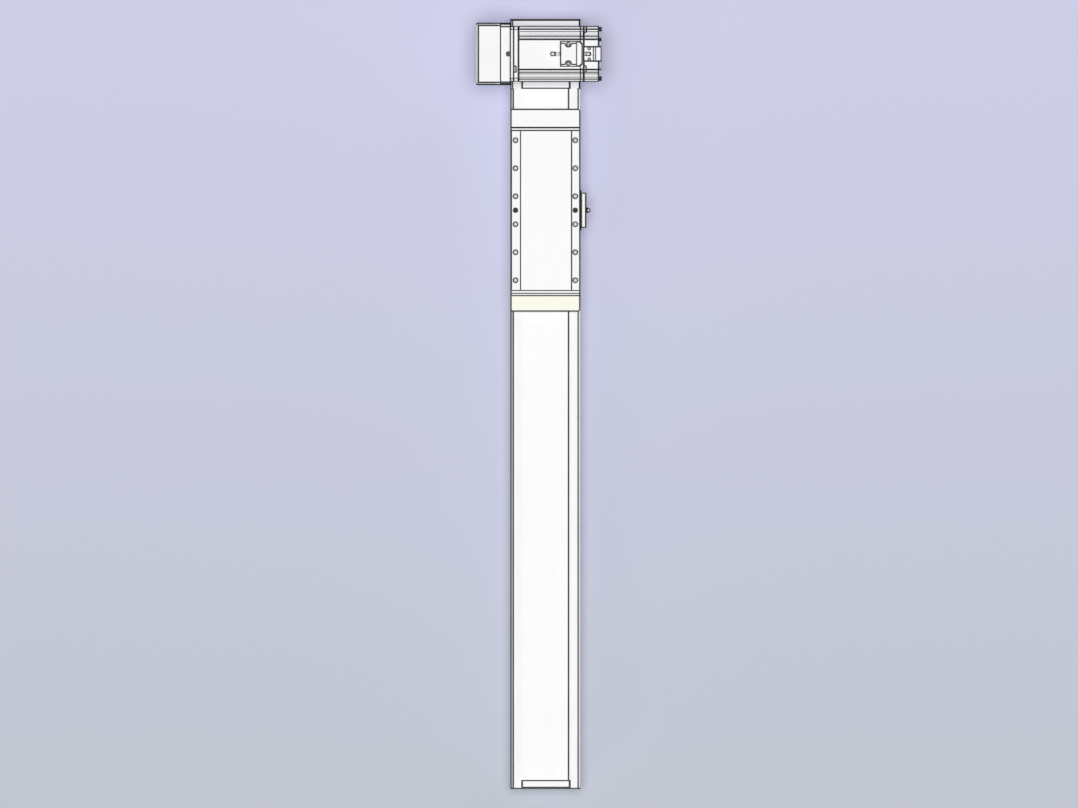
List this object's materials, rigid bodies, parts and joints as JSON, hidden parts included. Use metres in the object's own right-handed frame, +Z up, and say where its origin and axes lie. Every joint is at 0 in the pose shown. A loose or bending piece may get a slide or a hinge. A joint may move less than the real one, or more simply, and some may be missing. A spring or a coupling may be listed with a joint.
{
  "type": "belt-driven linear actuator",
  "caption": "Enclosed belt-driven linear actuator: strip-covered body, sliding carriage, side transfer belt box and servo motor folded over the drive end.",
  "frame": {"origin": "on the mounting face, midway along the extruded body and on its centre line", "axes": "+X across the body away from the belt box, +Y along it towards the drive end, +Z up out of the carriage"},
  "size_m": [0.1351, 0.8252, 0.138],
  "materials": {
    "body_aluminium": "clear anodised, satin",
    "inner_aluminium": "machined",
    "guide_steel": "ground",
    "screw_steel": "black oxide",
    "strip_steel": "thin rolled strip, satin",
    "magnet_rubber": "magnetic rubber",
    "belt_rubber": "matt",
    "bumper_rubber": "matt",
    "ivory_plastic": "moulded",
    "white_plastic": "moulded",
    "cap_plastic": "moulded",
    "roller_plastic": "turned acetal",
    "connector_plastic": "moulded",
    "encoder_paint": "satin paint",
    "core_iron": "laminated",
    "nipple_brass": "turned"
  },
  "bodies": {
    "base": {"base_extrusion": "body_aluminium", "guide_rail": "guide_steel", "rail_screws": "screw_steel", "magnet_strips": "magnet_rubber", "dust_strip": "strip_steel", "strip_clamps": "body_aluminium", "drive_housing": "body_aluminium", "housing_screws": "screw_steel", "drive_bearings": "guide_steel", "bearing_cap": "inner_aluminium", "countersunk_screws": "screw_steel", "idler_bracket": "inner_aluminium", "idler_axle": "guide_steel", "tail_end_plate": "inner_aluminium", "tension_screws": "screw_steel", "bumpers": "bumper_rubber", "drive_belt": "belt_rubber", "transfer_base_plate": "body_aluminium", "transfer_plate_screws": "screw_steel", "transfer_tension_screw": "screw_steel", "transfer_cover": "body_aluminium", "transfer_cover_screws": "screw_steel", "transfer_belt": "belt_rubber", "motor_flange": "inner_aluminium", "motor_housing": "inner_aluminium", "motor_stator": "core_iron", "motor_rear_bracket": "inner_aluminium", "motor_bearings": "guide_steel", "encoder_cap": "encoder_paint", "encoder_cap_screws": "screw_steel", "power_connector": "connector_plastic", "encoder_connector": "connector_plastic", "connector_screws": "screw_steel"},
    "carriage": {"carriage_table": "body_aluminium", "carriage_cover_plate": "body_aluminium", "guide_blocks": "guide_steel", "guide_block_end_caps": "cap_plastic", "belt_clamp_plates": "inner_aluminium", "carriage_cap_screws": "screw_steel", "adapter_plates": "body_aluminium", "wiper_plates": "bumper_rubber", "end_cover_drive": "white_plastic", "end_cover_tail": "ivory_plastic", "end_cover_screws": "screw_steel", "roller_pins": "guide_steel", "grease_port_gasket": "bumper_rubber", "grease_port_block": "inner_aluminium", "grease_nipple": "nipple_brass", "grease_port_screws": "screw_steel"},
    "drive_spindle": {"drive_shaft": "guide_steel", "spindle_keys": "guide_steel", "drive_pulley": "inner_aluminium", "driven_transfer_pulley": "inner_aluminium"},
    "idler": {"idler_pulley": "inner_aluminium", "idler_bearings": "guide_steel"},
    "motor_rotor": {"motor_shaft": "guide_steel", "rotor_core": "core_iron", "motor_pulley": "inner_aluminium"},
    "press_roller_drive": {"press_roller_drive": "roller_plastic"},
    "press_roller_tail": {"press_roller_tail": "roller_plastic"}
  },
  "joints": [
    {"name": "carriage_slide", "type": "slide", "parent": "base", "child": "carriage", "axis": [0, 1, 0], "range_m": [-0.48, 0.015], "deforming": ["dust_strip", "drive_belt"]},
    {"name": "spindle_turn", "type": "hinge", "parent": "base", "child": "drive_spindle", "pos_m": [0, 0.4125, 0.031], "axis": [-1, 0, 0], "range_deg": [-1441, 46], "deforming": ["transfer_belt"]},
    {"name": "idler_turn", "type": "hinge", "parent": "base", "child": "idler", "pos_m": [0, -0.3475, 0.031], "axis": [-1, 0, 0], "range_deg": [-1441, 46]},
    {"name": "motor_turn", "type": "hinge", "parent": "base", "child": "motor_rotor", "pos_m": [0, 0.4125, 0.096], "axis": [-1, 0, 0], "range_deg": [-1441, 46]},
    {"name": "drive_roller_turn", "type": "hinge", "parent": "carriage", "child": "press_roller_drive", "pos_m": [0, 0.34835, 0.06294], "axis": [-1, 0, 0], "range_deg": [-9170, 288]},
    {"name": "tail_roller_turn", "type": "hinge", "parent": "carriage", "child": "press_roller_tail", "pos_m": [0, 0.14165, 0.06294], "axis": [-1, 0, 0], "range_deg": [-9170, 288]}
  ],
  "couplings": [
    {"joint": "spindle_turn", "follows": "carriage_slide", "rad_per_m": 52.36},
    {"joint": "idler_turn", "follows": "carriage_slide", "rad_per_m": 52.36},
    {"joint": "motor_turn", "follows": "carriage_slide", "rad_per_m": 52.36},
    {"joint": "drive_roller_turn", "follows": "carriage_slide", "rad_per_m": 333.33},
    {"joint": "tail_roller_turn", "follows": "carriage_slide", "rad_per_m": 333.33}
  ]
}
